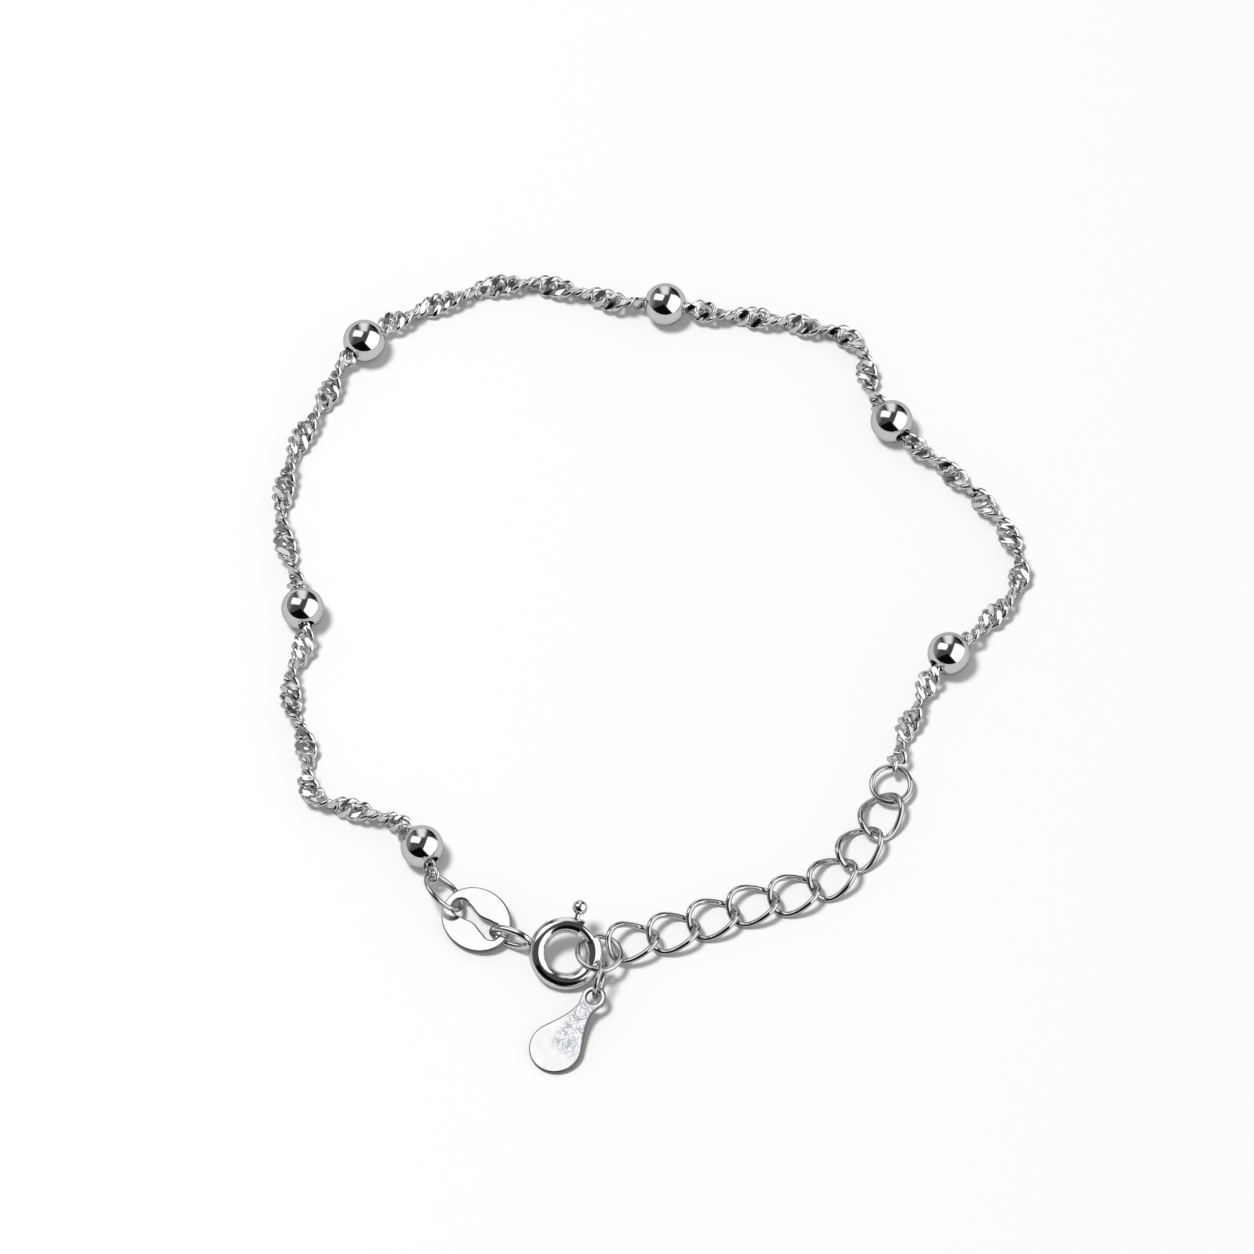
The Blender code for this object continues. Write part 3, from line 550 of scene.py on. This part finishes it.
def chainPlace(path, length):
    lengths, flat, stops, ends = path
    x, y = (float(np.interp(length, lengths, axis)) for axis in flat)
    nearest = min(abs(length - stop) for stop in stops)
    share = math.exp(-(nearest / chain["riseLength"]) ** 2)
    z = chain["height"] + (beads["radius"] - chain["height"]) * share
    if length < stops[0]:
        z = ends[0] + (beads["radius"] - ends[0]) * length / stops[0]
    tail = lengths[-1] - length
    if tail < chain["riseLength"]:
        z = z + (ends[1] - z) * (1 - tail / chain["riseLength"])
    return Vector((x, y, z))


def chainWay(path, length):
    step = chain["wayStep"]
    return (chainPlace(path, length + step) - chainPlace(path, length - step)).normalized()


def shapeChainLink():
    # one curb link, its ends rolled opposite ways and its two faces cut flat
    halfLength = (chain["linkLength"] - chain["wire"]) / 2
    halfWidth = (chain["linkWidth"] - chain["wire"]) / 2
    points = []
    for step in range(chain["linePoints"]):
        angle = 2 * math.pi * step / chain["linePoints"]
        x = halfLength * math.cos(angle)
        y = halfWidth * math.sin(angle)
        roll = -chain["endTwist"] * x / halfLength
        points.append(Vector((x, y * math.cos(roll), y * math.sin(roll))))
    work = bmesh.new()
    sweepLoop(work, points, chain["wire"] / 2, chain["wireSides"])
    for side in (1, -1):
        everything = work.verts[:] + work.edges[:] + work.faces[:]
        bmesh.ops.bisect_plane(work, geom=everything, plane_co=(0, 0, side * chain["cut"]),
                               plane_no=(0, 0, side), clear_outer=True)
        openEdges = [edge for edge in work.edges if edge.is_boundary]
        bmesh.ops.holes_fill(work, edges=openEdges, sides=0)
    mesh = bpy.data.meshes.new("chainLink")
    work.to_mesh(mesh)
    work.free()
    return mesh


def linkRoll(place, length):
    # a link's turn about the chain, from the turn that shows the camera its broad side
    spots, halfTurns = zip(*twistPlaces)
    sideways = place.col[1].to_3d().dot(towardsCamera)
    upwards = place.col[2].to_3d().dot(towardsCamera)
    return math.atan2(-sideways, upwards) - math.pi * float(np.interp(length / mm, spots, halfTurns))


def linkScale(path, length):
    nearest = min(abs(length - stop) for stop in path[2])
    share = (nearest - chain["narrowFrom"]) / (chain["narrowTo"] - chain["narrowFrom"])
    share = min(max(share, 0.0), 1.0)
    return chain["inBead"] + (1 - chain["inBead"]) * share


def shapeChain(path):
    link = shapeChainLink()
    work = bmesh.new()
    start = chain["endShift"]
    end = path[0][-1] - chain["endShift"]
    count = round((end - start) / chain["pitch"])
    for index in range(count + 1):
        length = start + (end - start) * index / count
        narrow = linkScale(path, length)
        place = axesFrame(chainPlace(path, length), chainWay(path, length), up)
        roll = Matrix.Rotation(linkRoll(place, length), 4, "X")
        matrix = place @ roll @ Matrix.Diagonal((1, narrow, narrow, 1))
        known = len(work.verts)
        work.from_mesh(link)
        work.verts.ensure_lookup_table()
        bmesh.ops.transform(work, matrix=matrix, verts=work.verts[known:])
    bpy.data.meshes.remove(link)
    print("chain links:", count + 1)
    return work


# wire links and rings

wires = {
    "extenderLink": {"length": 4.54 * mm, "width": 3.64 * mm, "wire": 0.48 * mm, "twist": math.radians(38)},
    "lastLink": {"length": 4.02 * mm, "width": 3.92 * mm, "wire": 0.45 * mm, "twist": 0.0},
    "endRing": {"length": 3.6 * mm, "width": 3.6 * mm, "wire": 0.44 * mm, "twist": 0.0},
    "chainRing": {"length": 4.1 * mm, "width": 4.1 * mm, "wire": 0.42 * mm, "twist": 0.0},
    "chainEnd": {"length": 1.6 * mm, "width": 1.46 * mm, "wire": 0.34 * mm, "twist": 0.0},
    "dropRing": {"length": 3.2 * mm, "width": 3.2 * mm, "wire": 0.4 * mm, "twist": 0.0},
    "fullness": 0.97,
    "linePoints": 64,
    "sides": 14,
}


# the soldered joint stands a little proud of the wire, a quarter of the way round
solder = {"place": 0.27, "spread": 0.018, "rise": 0.07}


def solderSwell(place):
    return 1 + solder["rise"] * math.exp(-((place - solder["place"]) / solder["spread"]) ** 2)


def addWireLoop(name, kind, finish, node):
    sizes = wires[kind]
    work = bmesh.new()
    fullness = wires["fullness"] if sizes["twist"] else 1.0
    points = loopPoints(sizes["length"], sizes["width"], sizes["wire"], sizes["twist"],
                        wires["linePoints"], fullness)
    sweepLoop(work, points, sizes["wire"] / 2, wires["sides"], solderSwell)
    bmesh.ops.transform(work, matrix=fitNode(node), verts=work.verts)
    newPiece(name, work, finish, "bracelet", [node])


# spring ring

clasp = {
    "ringRadius": 2.31 * mm,
    "tubeRadius": 0.69 * mm,
    "wall": 0.2 * mm,
    "mouthStart": math.radians(27),
    "mouthEnd": math.radians(58),
    "turnSteps": 110,
    "sides": 32,
    "eyeAngle": math.radians(164),
    "eyeDroop": math.radians(24),
    "eyeLean": math.radians(37),
    "eyeLength": 4.0 * mm,
    "eyeHeight": 2.4 * mm,
    "eyeWire": 0.6 * mm,
    "solderDepth": 0.14 * mm,
    "solderBlob": 0.42 * mm,
    "blobThin": 0.7,
    "eyePoints": 56,
    "eyeSides": 14,
}

trigger = {
    "angle": math.radians(73),
    "travel": math.radians(42),
    "tongueRadius": 0.33 * mm,
    "tongueStart": math.radians(16),
    "tongueEnd": math.radians(82),
    "knobRadius": 0.6 * mm,
    "knobStand": 0.25 * mm,
    "stemRadius": 0.21 * mm,
    "slotClearance": 0.12 * mm,
    "slotSpare": 0.1,
    "tongueSteps": 28,
    "stemSides": 20,
}


def claspFrame():
    joint = frame["joints"][0]
    return axesFrame(Vector(joint["pos_m"]), Vector((1, 0, 0)), Vector(joint["axis"]))


def polar(angle, radius, droop=0.0):
    flat = math.cos(droop) * radius
    return Vector((math.cos(angle) * flat, math.sin(angle) * flat, -math.sin(droop) * radius))


def turnedTube(work, radius, start, end, steps, closeEnds):
    # a round section turned part of the way round the ring's axis
    seat = Matrix.Translation(polar(start, clasp["ringRadius"])) @ Matrix.Rotation(start, 4, "Z")
    seat = seat @ Matrix.Rotation(math.pi / 2, 4, "X")
    circle = bmesh.ops.create_circle(work, segments=clasp["sides"], radius=radius, matrix=seat,
                                     cap_ends=closeEnds)["verts"]
    first = ringEdges(circle)
    faces = list({face for vert in circle for face in vert.link_faces})
    turned = bmesh.ops.spin(work, geom=circle + first + faces, cent=(0, 0, 0), axis=(0, 0, 1),
                            angle=end - start, steps=steps, use_duplicate=False)
    last = [item for item in turned["geom_last"] if isinstance(item, bmesh.types.BMEdge)]
    return first, last


def cutTriggerSlot(work):
    # an opening through the outer wall for the stem to travel in
    half = trigger["stemRadius"] + trigger["slotClearance"]
    margin = half / (clasp["ringRadius"] + clasp["tubeRadius"])
    start = trigger["angle"] - margin
    end = trigger["angle"] + trigger["travel"] + margin

    def inSlot(face, spare):
        centre = face.calc_center_median()
        angle = math.atan2(centre.y, centre.x)
        outside = math.hypot(centre.x, centre.y) > clasp["ringRadius"]
        return outside and start - spare < angle < end + spare

    cuts = [((0, 0, half), (0, 0, 1)), ((0, 0, -half), (0, 0, 1))]
    for angle in (start, end):
        cuts.append(((0, 0, 0), (-math.sin(angle), math.cos(angle), 0)))
    for place, normal in cuts:
        faces = [face for face in work.faces if inSlot(face, trigger["slotSpare"])]
        edges = list({edge for face in faces for edge in face.edges})
        verts = list({vert for face in faces for vert in face.verts})
        bmesh.ops.bisect_plane(work, geom=verts + edges + faces, plane_co=place, plane_no=normal)
    opened = [face for face in work.faces
              if inSlot(face, 0) and abs(face.calc_center_median().z) < half]
    bmesh.ops.delete(work, geom=opened, context="FACES")
    bmesh.ops.bridge_loops(work, edges=[edge for edge in work.edges if edge.is_boundary])


def shapeClaspRing():
    work = bmesh.new()
    start = clasp["mouthEnd"]
    end = clasp["mouthStart"] + 2 * math.pi
    bore = clasp["tubeRadius"] - clasp["wall"]
    outer = turnedTube(work, clasp["tubeRadius"], start, end, clasp["turnSteps"], False)
    turnedTube(work, bore, start, end, clasp["turnSteps"], False)
    # each mouth's rim runs inwards from the outer wall and is welded to the bore
    for edges, angle in zip(outer, (start, end)):
        grown = bmesh.ops.extrude_edge_only(work, edges=edges)["geom"]
        verts = [item for item in grown if isinstance(item, bmesh.types.BMVert)]
        share = bore / clasp["tubeRadius"]
        bmesh.ops.scale(work, vec=(share, share, share), verts=verts,
                        space=Matrix.Translation(-polar(angle, clasp["ringRadius"])))
    bmesh.ops.remove_doubles(work, verts=work.verts, dist=weldDistance)
    bmesh.ops.recalc_face_normals(work, faces=work.faces)
    cutTriggerSlot(work)
    return work


def eyeMatrix():
    way = polar(clasp["eyeAngle"], 1.0, clasp["eyeDroop"])
    seat = polar(clasp["eyeAngle"], clasp["ringRadius"])
    near = seat + way * (clasp["tubeRadius"] + clasp["eyeWire"] / 2 - clasp["solderDepth"])
    reach = clasp["eyeLength"] - clasp["eyeWire"]
    lean = Vector((0, math.sin(clasp["eyeLean"]), math.cos(clasp["eyeLean"])))
    return axesFrame(near + way * reach / 2, way, lean.cross(way)), near


def shapeEye():
    work = bmesh.new()
    points = loopPoints(clasp["eyeLength"], clasp["eyeHeight"], clasp["eyeWire"], 0.0,
                        clasp["eyePoints"])
    sweepLoop(work, points, clasp["eyeWire"] / 2, clasp["eyeSides"])
    matrix, near = eyeMatrix()
    bmesh.ops.transform(work, matrix=matrix, verts=work.verts)
    blob = bmesh.ops.create_uvsphere(work, u_segments=24, v_segments=16, radius=clasp["solderBlob"])["verts"]
    bmesh.ops.scale(work, vec=(clasp["blobThin"], 1, 1), verts=blob)
    bmesh.ops.rotate(work, cent=(0, 0, 0), matrix=Matrix.Rotation(clasp["eyeAngle"], 3, "Z"), verts=blob)
    bmesh.ops.translate(work, vec=near, verts=blob)
    return work


def shapeTrigger():
    work = bmesh.new()
    turnedTube(work, trigger["tongueRadius"], trigger["tongueStart"], trigger["tongueEnd"],
               trigger["tongueSteps"], True)
    knobPlace = clasp["ringRadius"] + clasp["tubeRadius"] + trigger["knobStand"] + trigger["knobRadius"]
    stemLength = knobPlace - clasp["ringRadius"]
    turn = Matrix.Rotation(trigger["angle"], 4, "Z") @ Matrix.Rotation(math.pi / 2, 4, "Y")
    stemMiddle = polar(trigger["angle"], clasp["ringRadius"] + stemLength / 2)
    bmesh.ops.create_cone(work, cap_ends=True, segments=trigger["stemSides"], radius1=trigger["stemRadius"],
                          radius2=trigger["stemRadius"], depth=stemLength,
                          matrix=Matrix.Translation(stemMiddle) @ turn)
    bmesh.ops.create_uvsphere(work, u_segments=36, v_segments=24, radius=trigger["knobRadius"],
                              matrix=Matrix.Translation(polar(trigger["angle"], knobPlace)) @ turn)
    return work


# tags

# degrees, low enough to keep the plates' faces flat
plateSharp = 8

ovalTag = {
    "length": 6.1 * mm,
    "width": 5.2 * mm,
    "thickness": 0.35 * mm,
    "edge": 0.12 * mm,
    "holeRadius": 0.725 * mm,
    "holeSpacing": 3.4 * mm,
    "holeOpening": math.radians(120),
    "waist": 0.375 * mm,
    "rimPoints": 96,
    "holeSteps": 14,
    "waistSteps": 8,
}

dropTag = {
    "endRadius": 1.0 * mm,
    "holeRadius": 0.575 * mm,
    "holeToBulb": 5.2 * mm,
    "bulbRadius": 2.15 * mm,
    "neckPlace": 1.04 * mm,
    "neckHalf": 0.725 * mm,
    "endArc": math.radians(75),
    "bulbArc": math.radians(118),
    "thickness": 0.35 * mm,
    "edge": 0.12 * mm,
    "endSteps": 16,
    "sideSteps": 14,
    "bulbSteps": 30,
    "holeSteps": 40,
}


def arcLine(radius, start, end, count, centreX=0.0):
    points = []
    for step in range(count + 1):
        angle = start + (end - start) * step / count
        points.append(Vector((centreX + radius * math.cos(angle), radius * math.sin(angle), 0)))
    return points


def easeLine(start, end, count, endSlope=0.0):
    run = end.x - start.x
    points = []
    for step in range(1, count):
        t = step / count
        rise = (end.y - start.y) * t * t * (3 - 2 * t) + endSlope * run * t * t * (t - 1)
        points.append(Vector((start.x + run * t, start.y + rise, 0)))
    return points


def mirroredLine(points):
    return [Vector((point.x, -point.y, 0)) for point in reversed(points)]


def ovalOutlines():
    rim = []
    for step in range(ovalTag["rimPoints"]):
        angle = 2 * math.pi * step / ovalTag["rimPoints"]
        x = ovalTag["length"] / 2 * math.cos(angle)
        rim.append(Vector((x, ovalTag["width"] / 2 * math.sin(angle), 0)))
    right = arcLine(ovalTag["holeRadius"], 0, ovalTag["holeOpening"], ovalTag["holeSteps"],
                    ovalTag["holeSpacing"] / 2)
    waist = Vector((0, ovalTag["waist"], 0))
    quarter = right + easeLine(right[-1], waist, ovalTag["waistSteps"]) + [waist]
    left = [Vector((-point.x, point.y, 0)) for point in reversed(quarter[:-1])]
    upper = quarter + left
    return [rim, upper + mirroredLine(upper)[1:-1]]


def dropOutlines():
    endArc = arcLine(dropTag["endRadius"], math.pi, dropTag["endArc"], dropTag["endSteps"])
    neck = Vector((dropTag["neckPlace"], dropTag["neckHalf"], 0))
    bulbArc = arcLine(dropTag["bulbRadius"], dropTag["bulbArc"], 0, dropTag["bulbSteps"],
                      dropTag["holeToBulb"])
    side = easeLine(neck, bulbArc[0], dropTag["sideSteps"], -1 / math.tan(dropTag["bulbArc"]))
    upper = endArc + [neck] + side + bulbArc
    hole = arcLine(dropTag["holeRadius"], 0, 2 * math.pi, dropTag["holeSteps"])[:-1]
    return [upper + mirroredLine(upper)[1:-1], hole]


def shapePlate(outlines, plate):
    # a flat outline with rounded edges, made a mesh before it is placed
    curve = bpy.data.curves.new("plate", "CURVE")
    curve.dimensions = "2D"
    curve.fill_mode = "BOTH"
    curve.extrude = plate["thickness"] / 2 - plate["edge"]
    curve.bevel_depth = plate["edge"]
    curve.bevel_resolution = 3
    curve.offset = -plate["edge"]
    for outline in outlines:
        spline = curve.splines.new("POLY")
        spline.points.add(len(outline) - 1)
        for index, point in enumerate(outline):
            spline.points[index].co = (*point, 1)
        spline.use_cyclic_u = True
    carrier = bpy.data.objects.new("plate", curve)
    bpy.context.scene.collection.objects.link(carrier)
    bpy.context.view_layer.update()
    mesh = bpy.data.meshes.new_from_object(carrier.evaluated_get(bpy.context.evaluated_depsgraph_get()))
    bpy.data.objects.remove(carrier, do_unlink=True)
    bpy.data.curves.remove(curve)
    work = bmesh.new()
    work.from_mesh(mesh)
    bpy.data.meshes.remove(mesh)
    # the rim, apart from the two flat faces, is marked to take a darker colour: painted shade along the
    # plates' edges
    rim = work.verts.layers.float.new("rim")
    for vert in work.verts:
        vert[rim] = float(abs(vert.co.z) < plate["thickness"] / 2 - 0.01 * plate["edge"])
    return work


def dropMatrix():
    fitted = fitNode("drop_tag")
    along = fitted.col[0].to_3d()
    centre = fitted.translation
    if along.dot(centre - boxCentre("drop_ring")) < 0:
        along = -along
    total = dropTag["endRadius"] + dropTag["holeToBulb"] + dropTag["bulbRadius"]
    hole = centre - along * (total / 2 - dropTag["endRadius"])
    return axesFrame(hole, along, fitted.col[2].to_3d())


# making

addCamera()
addKeyLight()
addRoom()
addFloor()
print("studio ready")

silver = {name: makeSilver(name) for name in silverLooks}
slotFinish = {
    "bead_silver": silver["beadSilver"],
    "chain_silver": silver["chainSilver"],
    "clasp_silver": silver["claspSilver"],
    "link_silver": silver["linkSilver"],
    "tag_silver": silver["tagSilver"],
}
for part in frame["record"]["subparts"]:
    node = frame["nodes"][part["node"]]
    node.data.materials.clear()
    node.data.materials.append(slotFinish[part["material_slot"]])
print("silver finishes ready")

path = chainPath()
for index, stop in enumerate(path[2]):
    node = f"bead_{index + 1}"
    way = chainWay(path, stop)
    seat = axesFrame(boxCentre(node), way, up) @ Matrix.Rotation(math.pi / 2, 4, "Y")
    newPiece(f"ball_{node}", shapeBead(seat), silver["beadSilver"], "bracelet", [node])
print("beads ready")

newPiece("twisted_chain", shapeChain(path), silver["chainSilver"], "bracelet", ["chain"],
         chain["sharpDegrees"])
addWireLoop("chain_end_link", "chainEnd", silver["chainSilver"], "clasp_side_link")
addWireLoop("chain_last_link", "chainEnd", silver["chainSilver"], "extender_side_link")
print("chain ready")

for index in range(1, 10):
    kind = "lastLink" if index == 1 else "extenderLink"
    addWireLoop(f"curb_link_{index}", kind, silver["linkSilver"], f"extender_link_{index}")
addWireLoop("round_end_ring", "endRing", silver["linkSilver"], "end_ring")
addWireLoop("jump_ring", "chainRing", silver["linkSilver"], "chain_ring")
addWireLoop("small_drop_ring", "dropRing", silver["linkSilver"], "drop_ring")
print("links and rings ready")

seat = claspFrame()
ring = shapeClaspRing()
bmesh.ops.transform(ring, matrix=seat, verts=ring.verts)
newPiece("spring_ring", ring, silver["claspSilver"], "bracelet", ["clasp_ring"])
eye = shapeEye()
bmesh.ops.transform(eye, matrix=seat, verts=eye.verts)
newPiece("spring_ring_eye", eye, silver["claspSilver"], "bracelet")
slider = shapeTrigger()
bmesh.ops.transform(slider, matrix=seat, verts=slider.verts)
newPiece("trigger_slider", slider, silver["claspSilver"], "trigger", ["clasp_trigger"])
print("spring ring ready")

oval = shapePlate(ovalOutlines(), ovalTag)
bmesh.ops.transform(oval, matrix=fitNode("oval_tag"), verts=oval.verts)
newPiece("slotted_oval_tag", oval, silver["tagSilver"], "bracelet", ["oval_tag"], plateSharp)
drop = shapePlate(dropOutlines(), dropTag)
bmesh.ops.transform(drop, matrix=dropMatrix(), verts=drop.verts)
newPiece("small_drop_tag", drop, silver["tagSilver"], "bracelet", ["drop_tag"], plateSharp)
print("tags ready")
